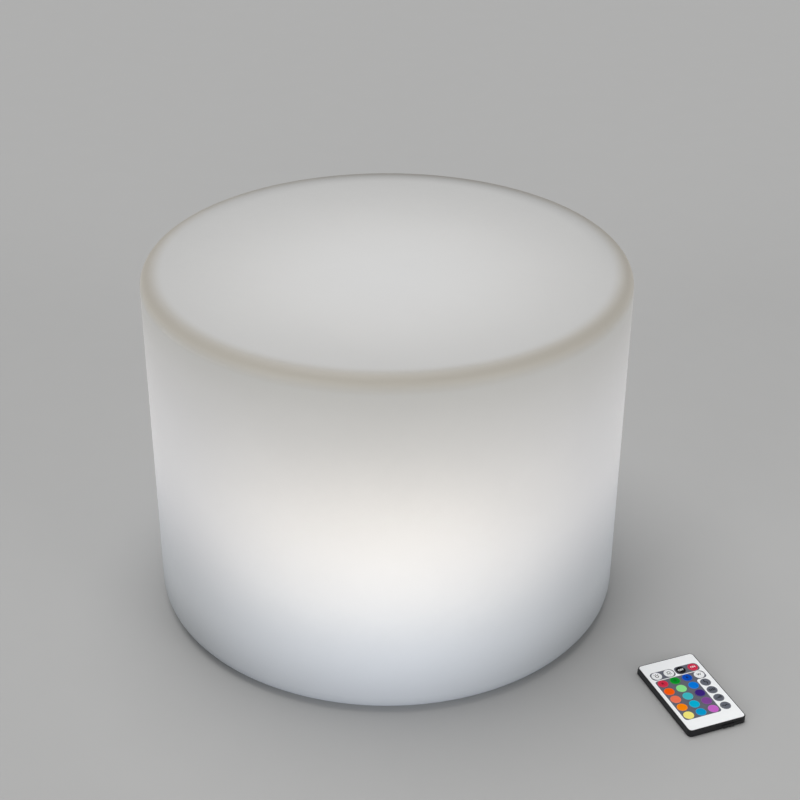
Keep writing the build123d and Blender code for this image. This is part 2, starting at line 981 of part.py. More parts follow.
def make_upper_case():
    """The remote's front half: a plate with the film's pocket and a hole under each key."""
    case = slab(
        remote_width, remote_length, lower_case_height, case_high, corner=remote_corner
    )
    case = fillet(case.faces().sort_by(Axis.Z)[-1].edges(), case_rim_radius)
    case -= slab(
        remote_width - 2 * case_wall,
        remote_length - 2 * case_wall,
        lower_case_height,
        plate_under,
        corner=remote_corner - case_wall,
    )
    case -= slab(
        film_width + 2 * film_gap,
        film_length + 2 * film_gap,
        pocket_floor,
        case_high,
        corner=remote_corner - film_inset + film_gap,
    )
    holes = [disc(stem_hole_radius, plate_under, pocket_floor, at) for at in key_places]
    return case - holes


def make_overlay_film():
    """The printed film on the remote's face, with a round hole at each key."""
    film = slab(
        film_width, film_length, pocket_floor, film_high, corner=remote_corner - film_inset
    )
    holes = [disc(key_radius + film_gap, pocket_floor, film_high, at) for at in key_places]
    return film - holes


def make_key(at):
    """One key: a crowned cap flush in the film's hole and a stem that reaches to its dome."""
    key = turned(
        [
            (0, key_stem_low),
            (key_stem_radius, key_stem_low),
            (key_stem_radius, key_cap_low),
            (key_radius, key_cap_low),
            (key_radius, key_cap_high),
            (0, key_cap_high),
        ],
        [0, 0, 0, 0, key_crown_radius, 0],
    )
    return Pos(at[0], at[1], 0) * key


def make_keypad_board():
    """The remote's circuit board, inside the upper case."""
    margin = case_wall + fit_gap
    return slab(
        remote_width - 2 * margin,
        remote_length - 2 * margin,
        keypad_low,
        keypad_high,
        corner=remote_corner - margin,
    )


def make_dome_contacts():
    """The sprung metal domes on the board, one under each key."""
    dome = turned(
        [(0, keypad_high), (dome_radius, keypad_high), (dome_radius / 2, dome_high), (0, dome_high)]
    )
    return group(Pos(x, y, 0) * dome for x, y in key_places)


def make_ir_emitter():
    """The infrared lamp that looks out of the remote's far end, with its two legs."""
    tip = remote_half_length + emitter_proud
    back = tip - emitter_length
    body = Cylinder(emitter_radius, emitter_length)
    body = fillet(body.edges().sort_by(Axis.Z)[-1], emitter_radius * head_round_share)
    body += Pos(0, 0, (emitter_flange_length - emitter_length) / 2) * Cylinder(
        emitter_flange_radius, emitter_flange_length
    )
    emitter = Pos(0, (tip + back) / 2, emitter_level) * Rot(-90, 0, 0) * body
    leg_length = 2 * emitter_length
    for side in (-1, 1):
        x = side * emitter_lead_gap / 2
        leg = Pos(x, back - leg_length / 2, emitter_level) * Rot(90, 0, 0) * Cylinder(
            emitter_lead_radius, leg_length
        )
        rise = disc(
            emitter_lead_radius,
            emitter_level,
            keypad_low,
            (x, back - leg_length + emitter_lead_radius),
        )
        emitter += leg + rise
    return emitter


def make_battery_drawer():
    """The drawer for the coin cell: a pocket, a spring latch arm and a ribbed handle."""
    end = -remote_half_length
    drawer = slab(
        drawer_width,
        drawer_length,
        drawer_low,
        drawer_high,
        (drawer_centre, end + drawer_length / 2),
    )
    drawer += slab(
        drawer_lip_width,
        drawer_lip_proud,
        drawer_low,
        drawer_high,
        (drawer_centre, end - drawer_lip_proud / 2),
    )
    for i in range(drawer_rib_count):
        x = drawer_centre + (i - (drawer_rib_count - 1) / 2) * drawer_lip_width / drawer_rib_count
        drawer -= slab(
            drawer_rib_depth,
            drawer_rib_depth,
            drawer_low,
            drawer_high,
            (x, end - drawer_lip_proud + drawer_rib_depth / 2),
        )
    drawer -= disc(coin_radius + stack_gap, drawer_low + drawer_floor, drawer_high, coin_place)
    arm_x = drawer_centre - drawer_width / 2 + drawer_latch_arm + drawer_latch_slot / 2
    arm_length = (drawer_length - drawer_handle) / 2
    return drawer - slab(
        drawer_latch_slot,
        arm_length,
        drawer_low,
        drawer_high,
        (arm_x, end + drawer_length - arm_length / 2),
    )


def make_coin_cell():
    """The coin cell in the drawer's pocket."""
    coin = disc(coin_radius, coin_low, coin_low + coin_thickness, coin_place)
    return fillet(coin.edges().filter_by(GeomType.CIRCLE), coin_round)


def make_battery_contacts():
    """Two leaf contacts under the board, over the middle and the edge of the coin cell."""
    leaf_low = coin_low + coin_thickness + key_seat_gap
    leaves = []
    for reach in (0, coin_radius / 2 + contact_width):
        x = coin_place[0] - reach
        leaf_y = coin_place[1] + contact_length / 2
        leaf = slab(
            contact_width, contact_length, leaf_low, leaf_low + contact_thickness, (x, leaf_y)
        )
        foot = slab(
            contact_width,
            contact_foot,
            leaf_low,
            keypad_low,
            (x, leaf_y + (contact_length + contact_foot) / 2),
        )
        leaves.append(leaf + foot)
    return group(leaves)


stool_makers = {
    "shell": make_shell,
    "thread_inserts": make_thread_inserts,
    "flange_screws": make_flange_screws,
    "flange_seal": make_flange_seal,
    "light_unit_tray": make_light_unit_tray,
    "reflector_plate": make_reflector_plate,
    "lamp_board": make_lamp_board,
    "lamp_chips": make_lamp_chips,
    "ir_receiver": make_ir_receiver,
    "lens": make_lens,
    "lens_seal": make_lens_seal,
    "housing_screws": make_housing_screws,
    "battery_cells": make_battery_cells,
    "battery_strap": make_battery_strap,
    "battery_lead": make_battery_lead,
    "control_board": make_control_board,
    "control_parts": make_control_parts,
    "lamp_lead": make_lamp_lead,
    "indicator_window": make_indicator_window,
    "switch_body": make_switch_body,
    "power_button": make_power_button,
    "switch_spring": make_switch_spring,
    "panel_nuts": make_panel_nuts,
    "charge_jack": make_charge_jack,
    "jack_pin": make_jack_pin,
    "charge_port_cap": make_charge_port_cap,
    "cap_anchor": make_cap_anchor,
}
remote_makers = {
    "remote_lower_case": make_lower_case,
    "remote_upper_case": make_upper_case,
    "overlay_film": make_overlay_film,
    "keypad_board": make_keypad_board,
    "dome_contacts": make_dome_contacts,
    "ir_emitter": make_ir_emitter,
    "battery_drawer": make_battery_drawer,
    "coin_cell": make_coin_cell,
    "battery_contacts": make_battery_contacts,
}

os.makedirs("parts", exist_ok=True)
for name, make in stool_makers.items():
    export_step(make(), f"parts/{name}.step")
for name, make in remote_makers.items():
    export_step(remote_place * make(), f"parts/{name}.step")
for name, at in zip([n for row in key_names for n in row], key_places):
    export_step(remote_place * make_key(at), f"parts/key_{name}.step")
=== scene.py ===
import bpy
import math
from mathutils import Matrix, Vector


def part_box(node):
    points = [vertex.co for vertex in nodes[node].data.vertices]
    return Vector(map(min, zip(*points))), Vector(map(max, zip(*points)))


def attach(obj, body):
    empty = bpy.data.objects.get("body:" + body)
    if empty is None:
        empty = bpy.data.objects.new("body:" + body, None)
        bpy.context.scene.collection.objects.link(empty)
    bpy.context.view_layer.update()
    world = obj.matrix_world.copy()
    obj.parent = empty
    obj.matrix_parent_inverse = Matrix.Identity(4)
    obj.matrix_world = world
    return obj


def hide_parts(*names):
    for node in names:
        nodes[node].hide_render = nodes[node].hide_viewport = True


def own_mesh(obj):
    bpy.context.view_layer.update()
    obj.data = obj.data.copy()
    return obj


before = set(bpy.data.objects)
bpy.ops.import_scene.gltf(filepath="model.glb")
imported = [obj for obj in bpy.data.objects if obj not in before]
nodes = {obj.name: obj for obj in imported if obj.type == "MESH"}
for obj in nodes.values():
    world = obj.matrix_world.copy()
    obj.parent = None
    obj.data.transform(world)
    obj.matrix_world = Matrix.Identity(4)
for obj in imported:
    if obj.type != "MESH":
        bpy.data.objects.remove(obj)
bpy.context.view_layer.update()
MM = 0.001

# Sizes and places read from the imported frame
drum_low, drum_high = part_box("shell")
drum_radius = (drum_high.x - drum_low.x) / 2
drum_height = drum_high.z
rim_band = 11 * MM
remote_low, remote_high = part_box("remote_lower_case")
remote_centre = (remote_low + remote_high) / 2
remote_turn = math.radians(21)
first_key_low, first_key_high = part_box("key_brighter")
key_radius = (first_key_high.x - first_key_low.x) / 2

# Camera, fitted to the drum's outline in the photograph
view_distance = 6.98 * drum_radius
view_elevation = math.radians(30.4)
view_lens = 73.07
view_shift = (0.0163, 0.0288)

# Keys of the remote, row by row from its far end
key_rows = (
    ("brighter", "dimmer", "off", "on"),
    ("red", "green", "blue", "white"),
    ("orange", "pale_green", "sky_blue", "flash"),
    ("salmon", "teal", "indigo", "strobe"),
    ("amber", "cyan", "purple", "fade"),
    ("yellow", "azure", "pink", "smooth"),
)
dimming_key_white = (0.86, 0.87, 0.88)
mode_key_grey = (0.132, 0.141, 0.171)
key_colours = {
    "brighter": dimming_key_white,
    "dimmer": dimming_key_white,
    "off": (0.008, 0.008, 0.010),
    "on": (0.65, 0.027, 0.075),
    "red": (0.65, 0.027, 0.07),
    "green": (0.0, 0.305, 0.02),
    "blue": (0.0, 0.073, 0.505),
    "white": (0.88, 0.89, 0.90),
    "orange": (0.98, 0.105, 0.001),
    "pale_green": (0.273, 0.77, 0.28),
    "sky_blue": (0.0, 0.19, 0.72),
    "salmon": (0.9, 0.178, 0.094),
    "teal": (0.048, 0.49, 0.56),
    "indigo": (0.045, 0.016, 0.2),
    "amber": (0.98, 0.248, 0.0),
    "cyan": (0.0, 0.445, 0.67),
    "purple": (0.215, 0.063, 0.3),
    "yellow": (0.93, 0.825, 0.21),
    "azure": (0.0, 0.32, 0.61),
    "pink": (0.575, 0.133, 0.575),
    "flash": mode_key_grey,
    "strobe": mode_key_grey,
    "fade": mode_key_grey,
    "smooth": mode_key_grey,
}


# Small helpers for the node trees


def link(tree, source, target):
    """Joins a socket to an input, or sets the input where the source is a plain value."""
    if isinstance(source, bpy.types.NodeSocket):
        tree.links.new(source, target)
    elif source is not None:
        target.default_value = source


def maths(tree, operation, *values):
    """One Math node."""
    node = tree.nodes.new("ShaderNodeMath")
    node.operation = operation
    for value, target in zip(values, node.inputs):
        link(tree, value, target)
    return node.outputs[0]


def vector_maths(tree, operation, *values, out=0):
    """One Vector Math node."""
    node = tree.nodes.new("ShaderNodeVectorMath")
    node.operation = operation
    for value, target in zip(values, node.inputs):
        link(tree, value, target)
    return node.outputs[out]


def map_range(tree, value, low, high, to_low=0.0, to_high=1.0, smooth=True):
    """Maps a value from one range to another, eased at both ends."""
    node = tree.nodes.new("ShaderNodeMapRange")
    node.interpolation_type = "SMOOTHSTEP" if smooth else "LINEAR"
    for source, target in zip((value, low, high, to_low, to_high), node.inputs):
        link(tree, source, target)
    return node.outputs[0]


def noise(tree, vector, scale, detail=3.0, roughness=0.5):
    """Fractal noise, as a value."""
    node = tree.nodes.new("ShaderNodeTexNoise")
    link(tree, vector, node.inputs["Vector"])
    for name, value in (("Scale", scale), ("Detail", detail), ("Roughness", roughness)):
        link(tree, value, node.inputs[name])
    return node.outputs["Fac"]


def blend_colour(tree, amount, first, second, blend="MIX"):
    """Mixes two colours."""
    node = tree.nodes.new("ShaderNodeMix")
    node.data_type = "RGBA"
    node.blend_type = blend
    link(tree, amount, node.inputs[0])
    link(tree, first, node.inputs[6])
    link(tree, second, node.inputs[7])
    return node.outputs[2]


def ramp(tree, value, stops):
    """A colour ramp with soft steps, from stops of position and colour."""
    node = tree.nodes.new("ShaderNodeValToRGB")
    node.color_ramp.interpolation = "B_SPLINE"
    elements = node.color_ramp.elements
    while len(elements) < len(stops):
        elements.new(0.5)
    for element, (position, colour) in zip(elements, stops):
        element.position = position
        element.color = (*colour, 1)
    link(tree, value, node.inputs[0])
    return node.outputs[0]


def rgba(colour):
    """A colour with full opacity."""
    return (*colour, 1)


def make_group(name, inputs, outputs):
    """An empty node group with named sockets, each of them a name, a type and a starting value."""
    group = bpy.data.node_groups.new(name, "ShaderNodeTree")
    for label, kind, value in inputs:
        socket = group.interface.new_socket(label, in_out="INPUT", socket_type="NodeSocket" + kind)
        if value is not None:
            socket.default_value = value
    for label, kind in outputs:
        group.interface.new_socket(label, in_out="OUTPUT", socket_type="NodeSocket" + kind)
    return group, group.nodes.new("NodeGroupInput"), group.nodes.new("NodeGroupOutput")


def place_group(tree, group, **values):
    """One use of a group, with its own values."""
    node = tree.nodes.new("ShaderNodeGroup")
    node.node_tree = group
    for label, value in values.items():
        link(tree, value, node.inputs[label.replace("_", " ")])
    return node


# Effects that several materials share


def moulded_grain():
    """Fine orange peel of moulded plastic: a height for the bump and a slow drift of tone."""
    group, into, out = make_group(
        "moulded grain",
        [("Position", "Vector", None), ("Grain Size", "Float", 1.5 * MM), ("Drift", "Float", 0.04)],
        [("Height", "Float"), ("Tone", "Float")],
    )
    position = into.outputs["Position"]
    fineness = maths(group, "DIVIDE", 1.0, into.outputs["Grain Size"])
    coarse = maths(group, "MULTIPLY", fineness, 0.22)
    height = maths(
        group,
        "MULTIPLY_ADD",
        noise(group, position, coarse, 2.0),
        0.6,
        maths(group, "MULTIPLY", noise(group, position, fineness, 3.0), 0.4),
    )
    drift = maths(group, "SUBTRACT", noise(group, position, 24.0, 2.0), 0.5)
    tone = maths(group, "MULTIPLY_ADD", drift, into.outputs["Drift"], 1.0)
    link(group, height, out.inputs["Height"])
    link(group, tone, out.inputs["Tone"])
    return group


def rounded_patch():
    """Where a printed patch with rounded corners lies: 1 inside it, 0 outside it."""
    group, into, out = make_group(
        "rounded patch",
        [
            ("Position", "Vector", None),
            ("Centre", "Vector", None),
            ("Half Size", "Vector", None),
            ("Corner", "Float", MM),
            ("Edge", "Float", 0.06 * MM),
        ],
        [("Mask", "Float")],
    )
    offset = vector_maths(group, "SUBTRACT", into.outputs["Position"], into.outputs["Centre"])
    reach = vector_maths(group, "ABSOLUTE", offset)
    corner = into.outputs["Corner"]
    split = group.nodes.new("ShaderNodeSeparateXYZ")
    link(group, vector_maths(group, "SUBTRACT", reach, into.outputs["Half Size"]), split.inputs[0])
    x = maths(group, "ADD", split.outputs[0], corner)
    y = maths(group, "ADD", split.outputs[1], corner)
    outside = maths(
        group,
        "SQRT",
        maths(
            group,
            "ADD",
            maths(group, "POWER", maths(group, "MAXIMUM", x, 0.0), 2.0),
            maths(group, "POWER", maths(group, "MAXIMUM", y, 0.0), 2.0),
        ),
    )
    inside = maths(group, "MINIMUM", maths(group, "MAXIMUM", x, y), 0.0)
    distance = maths(group, "SUBTRACT", maths(group, "ADD", outside, inside), corner)
    edge = into.outputs["Edge"]
    mask = map_range(group, distance, edge, maths(group, "MULTIPLY", edge, -1.0))
    link(group, mask, out.inputs["Mask"])
    return group


def remote_frame_group():
    """Turns a position into the remote's own frame, its middle at nought and its far end at +Y."""
    group, into, out = make_group(
        "remote frame", [("Position", "Vector", None)], [("Local", "Vector")]
    )
    centred = vector_maths(
        group, "SUBTRACT", into.outputs["Position"], (remote_centre.x, remote_centre.y, 0)
    )
    turn = group.nodes.new("ShaderNodeVectorRotate")
    turn.rotation_type = "Z_AXIS"
    turn.inputs["Angle"].default_value = -remote_turn
    link(group, centred, turn.inputs["Vector"])
    link(group, turn.outputs[0], out.inputs["Local"])
    return group


grain_group = moulded_grain()
patch_group = rounded_patch()
remote_group = remote_frame_group()


# Materials


def start_material(name, colour, roughness, metallic=0.0):
    """A new material, with its tree, its Principled shader and its object positions."""
    material = bpy.data.materials.new(name)
    material.use_nodes = True
    tree = material.node_tree
    shader = tree.nodes["Principled BSDF"]
    shader.inputs["Base Color"].default_value = rgba(colour)
    shader.inputs["Roughness"].default_value = roughness
    shader.inputs["Metallic"].default_value = metallic
    position = tree.nodes.new("ShaderNodeTexCoord").outputs["Object"]
    return material, tree, shader, position


def add_bump(tree, shader, height, distance):
    """A bump of real height in metres."""
    bump = tree.nodes.new("ShaderNodeBump")
    bump.inputs["Strength"].default_value = 1.0
    bump.inputs["Distance"].default_value = distance
    link(tree, height, bump.inputs["Height"])
    link(tree, bump.outputs[0], shader.inputs["Normal"])


def moulded(
    name, colour, roughness=0.5, grain=MM, depth=0.03 * MM, drift=0.05, coat=0.0, gloss=0.5
):
    """Moulded plastic or rubber with a fine grain."""
    material, tree, shader, position = start_material(name, colour, roughness)
    surface = place_group(tree, grain_group, Position=position, Grain_Size=grain, Drift=drift)
    tone = blend_colour(tree, 1.0, rgba(colour), surface.outputs["Tone"], "MULTIPLY")
    link(tree, tone, shader.inputs["Base Color"])
    rough = map_range(tree, surface.outputs["Height"], 0.3, 0.7, roughness - 0.05, roughness + 0.05)
    link(tree, rough, shader.inputs["Roughness"])
    shader.inputs["Coat Weight"].default_value = coat
    shader.inputs["Specular IOR Level"].default_value = gloss
    add_bump(tree, shader, surface.outputs["Height"], depth)
    return material


def metal(name, colour, roughness=0.3, streak=(40.0, 900.0, 40.0)):
    """Plated or rolled metal with fine streaks along one way."""
    material, tree, shader, position = start_material(name, colour, roughness, 1.0)
    stretched = vector_maths(tree, "MULTIPLY", position, streak)
    streaks = noise(tree, stretched, 6.0, 4.0, 0.6)
    rough = map_range(tree, streaks, 0.3, 0.7, roughness - 0.08, roughness + 0.10)
    link(tree, rough, shader.inputs["Roughness"])
    tone = map_range(tree, streaks, 0.25, 0.75, 0.88, 1.05)
    link(tree, blend_colour(tree, 1.0, rgba(colour), tone, "MULTIPLY"), shader.inputs["Base Color"])
    add_bump(tree, shader, streaks, 0.01 * MM)
    return material


def clear(name, colour, roughness=0.08, ior=1.49):
    """Clear moulded plastic."""
    material, tree, shader, position = start_material(name, colour, roughness)
    shader.inputs["Transmission Weight"].default_value = 1.0
    shader.inputs["IOR"].default_value = ior
    add_bump(tree, shader, noise(tree, position, 60.0, 2.0), 0.05 * MM)
    return material


def circuit_board(name, colour, track_colour, pitch=2.0 * MM):
    """A lacquered board with copper tracks that show as paler lines, and solder points."""
    solder_colour = (0.62, 0.61, 0.58)
    material, tree, shader, position = start_material(name, colour, 0.35)
    cells = tree.nodes.new("ShaderNodeTexBrick")
    cells.offset = 0.5
    link(tree, position, cells.inputs["Vector"])
    cells.inputs["Scale"].default_value = 1.0
    cells.inputs["Brick Width"].default_value = 5 * pitch
    cells.inputs["Row Height"].default_value = pitch
    cells.inputs["Mortar Size"].default_value = 0.12 * pitch
    cells.inputs["Mortar Smooth"].default_value = 0.2
    dots = tree.nodes.new("ShaderNodeTexVoronoi")
    dots.inputs["Scale"].default_value = 0.4 / pitch
    link(tree, position, dots.inputs["Vector"])
    points = map_range(tree, dots.outputs["Distance"], 0.16, 0.12)
    tracks = blend_colour(tree, cells.outputs["Fac"], rgba(colour), rgba(track_colour))
    solder = blend_colour(tree, points, tracks, rgba(solder_colour))
    link(tree, solder, shader.inputs["Base Color"])
    link(tree, maths(tree, "MULTIPLY", points, 0.9), shader.inputs["Metallic"])
    add_bump(tree, shader, maths(tree, "ADD", cells.outputs["Fac"], points), 0.03 * MM)
    return material


# Glow of the lit drum, as stops of a share and a colour: up its wall, up the painted patch of light
# on its front, and outwards over its seat
wall_glow = (
    (0.00, (0.012, 0.022, 0.032)),
    (0.10, (0.054, 0.067, 0.083)),
    (0.25, (0.098, 0.112, 0.132)),
    (0.42, (0.265, 0.265, 0.280)),
    (0.55, (0.310, 0.305, 0.310)),
    (0.72, (0.255, 0.250, 0.255)),
    (0.88, (0.180, 0.175, 0.170)),
    (1.00, (0.110, 0.105, 0.090)),
)
front_painted_light = (
    (0.00, (0.155, 0.165, 0.187)),
    (0.18, (0.190, 0.210, 0.247)),
    (0.34, (0.355, 0.350, 0.340)),
    (0.50, (0.265, 0.245, 0.210)),
    (0.66, (0.165, 0.145, 0.110)),
    (0.82, (0.035, 0.030, 0.015)),
    (1.00, (0.000, 0.000, 0.000)),
)
seat_glow = (
    (0.00, (0.155, 0.155, 0.158)),
    (0.35, (0.142, 0.139, 0.137)),
    (0.65, (0.078, 0.075, 0.072)),
    (1.00, (0.000, 0.000, 0.000)),
)
seat_glow_shift = 0.14 * drum_radius

# The painted patch of light on the back wall: its strength beside the front's, how far it reaches
# round the sides, and how fast it falls off
back_painted_light = 0.9
back_reach = 0.31
back_fall = 1.5

# The plastic on the wall and its painted shade colour at the rim, the part of the glow that the rim
# loses, and the painted shade at the foot: its darkest share and the height where it ends
milky_colour = (0.52, 0.52, 0.515)
rim_shade_colour = (0.40, 0.375, 0.33)
rim_loss = 0.35
foot_shade = 0.6
foot_shade_height = 60 * MM

# The painted shade on the seat's far edge: the part of the light lost, the way that it lies, how
# fast it falls off to the sides, and where it begins and is full, inwards from the drum's side
far_shade = 0.42
far_shade_way = (0.2, 0.98)
far_shade_fall = 1.3
far_shade_start, far_shade_full = 30 * MM, 8 * MM


def milky_plastic():
    """The drum's milky plastic, lit from inside."""
    material, tree, shader, position = start_material("milky plastic", milky_colour, 0.5)
    split = tree.nodes.new("ShaderNodeSeparateXYZ")
    link(tree, position, split.inputs[0])
    _, y, z = split.outputs
    height = maths(tree, "DIVIDE", z, drum_height)
    flat = vector_maths(tree, "MULTIPLY", position, (1, 1, 0))
    radius = vector_maths(tree, "LENGTH", flat, out=1)

    # The rounded rim is thick in the line of light, so less glow comes through it
    near_top = map_range(tree, z, drum_height - 1.3 * rim_band, drum_height - 0.25 * rim_band)
    near_side = map_range(tree, radius, drum_radius - 1.7 * rim_band, drum_radius - 0.4 * rim_band)
    rim = maths(tree, "MULTIPLY", near_top, near_side)

    # Painted light: the light of the lamps is painted low on the front wall as a bright patch,
    # which begins half a radius in front of the middle, and on the back wall as a wider one
    front = maths(tree, "MAXIMUM", maths(tree, "MULTIPLY_ADD", y, -2 / drum_radius, -1.0), 0.0)
    back = maths(tree, "MULTIPLY_ADD", y, (1 - back_reach) / drum_radius, back_reach)
    back = maths(tree, "POWER", maths(tree, "MAXIMUM", back, 0.0), back_fall)
    patch = maths(tree, "MULTIPLY_ADD", back, back_painted_light, maths(tree, "POWER", front, 2.0))
    wall = ramp(tree, height, wall_glow)
    wall = blend_colour(tree, patch, wall, ramp(tree, height, front_painted_light), "ADD")

    # The seat has its own fall of light from the middle, and begins where the rim ends
    off_middle = vector_maths(tree, "ADD", flat, (0, seat_glow_shift, 0))
    reach = maths(tree, "DIVIDE", vector_maths(tree, "LENGTH", off_middle, out=1), drum_radius)
    on_seat = map_range(tree, z, drum_height - 0.5 * rim_band, drum_height)
    glow = blend_colour(tree, on_seat, wall, ramp(tree, reach, seat_glow))

    # The walls of a drum from a turning mould differ a little in thickness, and its skin is uneven
    surface = place_group(tree, grain_group, Position=position, Grain_Size=1.4 * MM, Drift=0.03)
    cloud = noise(tree, position, 9.0, 6.0, 0.6)
    cloud = map_range(tree, cloud, 0.25, 0.75, 0.96, 1.04, smooth=False)
    skin = map_range(tree, surface.outputs["Height"], 0.3, 0.7, 0.985, 1.015, smooth=False)
    glow = blend_colour(tree, 1.0, glow, maths(tree, "MULTIPLY", cloud, skin), "MULTIPLY")
    thick = maths(tree, "MULTIPLY", maths(tree, "POWER", rim, 3.0), rim_loss)
    glow = blend_colour(tree, thick, glow, rgba((0.0, 0.0, 0.0)))

    # Painted shade on the seat's far edge, which darkens its glow and its body colour
    far_edge = map_range(
        tree, radius, drum_radius - far_shade_start, drum_radius - far_shade_full
    )
    far_way = (far_shade_way[0] / drum_radius, far_shade_way[1] / drum_radius, 0)
    far_side = vector_maths(tree, "DOT_PRODUCT", position, far_way, out=1)
    far_side = maths(tree, "POWER", maths(tree, "MAXIMUM", far_side, 0.0), far_shade_fall)
    far = maths(tree, "MULTIPLY", maths(tree, "MULTIPLY", far_edge, far_side), on_seat)
    shade = maths(tree, "MULTIPLY_ADD", far, -far_shade, 1.0)
    glow = blend_colour(tree, 1.0, glow, shade, "MULTIPLY")
    link(tree, glow, shader.inputs["Emission Color"])
    shader.inputs["Emission Strength"].default_value = 1.0

    # Painted shade: the body darkens towards the foot, where the wall turns in, and at the far edge
    # The rim's darker, warmer colour is painted shade on the rounded edge
    body = blend_colour(tree, rim, rgba(milky_colour), rgba(rim_shade_colour))
    foot = map_range(tree, z, -0.15 * foot_shade_height, foot_shade_height, foot_shade, 1.0)
    foot = maths(tree, "MULTIPLY", surface.outputs["Tone"], foot)
    body = blend_colour(tree, 1.0, body, maths(tree, "MULTIPLY", foot, shade), "MULTIPLY")
    link(tree, body, shader.inputs["Base Color"])
    rough = map_range(tree, surface.outputs["Height"], 0.3, 0.7, 0.46, 0.56)
    link(tree, rough, shader.inputs["Roughness"])
    shader.inputs["Specular IOR Level"].default_value = 0.35
    add_bump(tree, shader, surface.outputs["Height"], 0.06 * MM)
    return material


def lit_window(name, node, colour, light):
    """A small clear window over a lamp that is lit, brightest over its middle."""
    material, tree, shader, position = start_material(name, colour, 0.15)
    low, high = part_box(node)
    middle, radius = (low + high) / 2, (high.x - low.x) / 2
    offset = vector_maths(tree, "SUBTRACT", position, (middle.x, middle.y, 0))
    reach = vector_maths(tree, "LENGTH", vector_maths(tree, "MULTIPLY", offset, (1, 1, 0)), out=1)
    share = map_range(tree, reach, 0.2 * radius, radius, 1.0, 0.35)
    glow = blend_colour(tree, 1.0, rgba(light), share, "MULTIPLY")
    link(tree, glow, shader.inputs["Emission Color"])
    shader.inputs["Emission Strength"].default_value = 1.0
    shader.inputs["Transmission Weight"].default_value = 0.3
    add_bump(tree, shader, noise(tree, position, 400.0, 2.0), 0.02 * MM)
    return material


def resin(name, colour):
    """The cast resin of a small lamp, cloudy enough to hide its chip."""
    material, tree, shader, position = start_material(name, colour, 0.10)
    shader.inputs["Transmission Weight"].default_value = 0.45
    shader.inputs["IOR"].default_value = 1.5
    add_bump(tree, shader, noise(tree, position, 300.0, 2.0), 0.03 * MM)
    return material


def paint(material, *names):
    """Gives CAD nodes their material."""
    for name in names:
        mesh = nodes[name].data
        mesh.materials.clear()
        mesh.materials.append(material)


paint(milky_plastic(), "shell")
paint(moulded("white moulding", (0.78, 0.78, 0.76), 0.48), "light_unit_tray")
zinc = metal("zinc screw", (0.62, 0.62, 0.61), 0.30)
paint(zinc, "flange_screws", "housing_screws", "panel_nuts")
paint(metal("brass insert", (0.70, 0.50, 0.22), 0.28), "thread_inserts")
paint(moulded("seal rubber", (0.022, 0.022, 0.022), 0.70, 0.6 * MM), "flange_seal", "lens_seal")
paint(moulded("cap rubber", (0.035, 0.035, 0.038), 0.62, 0.8 * MM), "charge_port_cap", "cap_anchor")
paint(moulded("reflector white", (0.86, 0.86, 0.85), 0.25, coat=0.3), "reflector_plate")
paint(moulded("switch black", (0.022, 0.022, 0.024), 0.42, 0.7 * MM), "switch_body", "charge_jack")
paint(moulded("button grey", (0.26, 0.27, 0.28), 0.32, coat=0.2), "power_button")
spring_wire = metal("spring wire", (0.66, 0.66, 0.68), 0.22)
paint(spring_wire, "switch_spring", "battery_strap", "coin_cell")
nickel = metal("nickel pin", (0.74, 0.71, 0.64), 0.18)
paint(nickel, "jack_pin", "dome_contacts", "battery_contacts")
paint(clear("clear lens", (0.95, 0.97, 0.98)), "lens")
green_light = lit_window("lit window", "indicator_window", (0.45, 0.70, 0.50), (0.06, 0.62, 0.16))
paint(green_light, "indicator_window")
paint(resin("emitter resin", (0.62, 0.66, 0.80)), "ir_emitter")
paint(circuit_board("white board", (0.80, 0.81, 0.80), (0.68, 0.69, 0.68), 3 * MM), "lamp_board")
paint(circuit_board("green board", (0.015, 0.11, 0.045), (0.03, 0.19, 0.07)), "control_board")
fine_board = circuit_board("keypad board", (0.012, 0.09, 0.05), (0.03, 0.16, 0.08), 1.2 * MM)
paint(fine_board, "keypad_board")
paint(moulded("part black", (0.03, 0.03, 0.032), 0.45, 0.5 * MM), "control_parts", "ir_receiver")
paint(moulded("cell sleeve", (0.02, 0.09, 0.28), 0.28, coat=0.3), "battery_cells")
paint(moulded("wire red", (0.38, 0.012, 0.010), 0.45, 0.5 * MM), "battery_lead", "lamp_lead")
paint(moulded("lamp phosphor", (0.85, 0.66, 0.12), 0.40, 0.4 * MM), "lamp_chips")
remote_black = moulded("remote black", (0.013, 0.013, 0.015), 0.45, 0.5 * MM, gloss=0.3)
paint(remote_black, "remote_lower_case", "remote_upper_case", "battery_drawer")

# Printed zones of the remote's film, set round the keys: first and last key, then the margins to
# the left, right, bottom and top of them and the corner, in millimetres
film_white = (0.94, 0.953, 0.962)
film_grey = (0.127, 0.132, 0.165)
film_zones = (
    ("brighter", "dimmer", (0.95, 0.85, 0.60, 0.60), 3.9),
    ("off", "on", (0.85, 0.95, 0.60, 0.60), 3.9),
    ("red", "pink", (0.95, 1.15, 0.50, 0.25), 2.7),
    ("white", "white", (9.00, 0.95, 0.50, 0.25), 3.3),
)
inner_corner = 2.7 * MM

# The gloss of the film and of its keys, the part of a key's radius that its raised edge takes and
# how much its painted highlight pales it, and the size and height of the print's grain
film_gloss = 0.12
key_gloss = 0.03
key_edge_band = 0.18
key_edge_highlight = 0.07
print_grain = 0.35 * MM
print_depth = 0.006 * MM


def key_centre(name):
    """The middle of a key's box."""
    low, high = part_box("key_" + name)
    return (low + high) / 2


def on_remote(point):
    """A place in the remote's own frame, its middle at nought and its far end at +Y."""
    offset = point - remote_centre
    offset.z = 0
    return Matrix.Rotation(-remote_turn, 3, "Z") @ offset


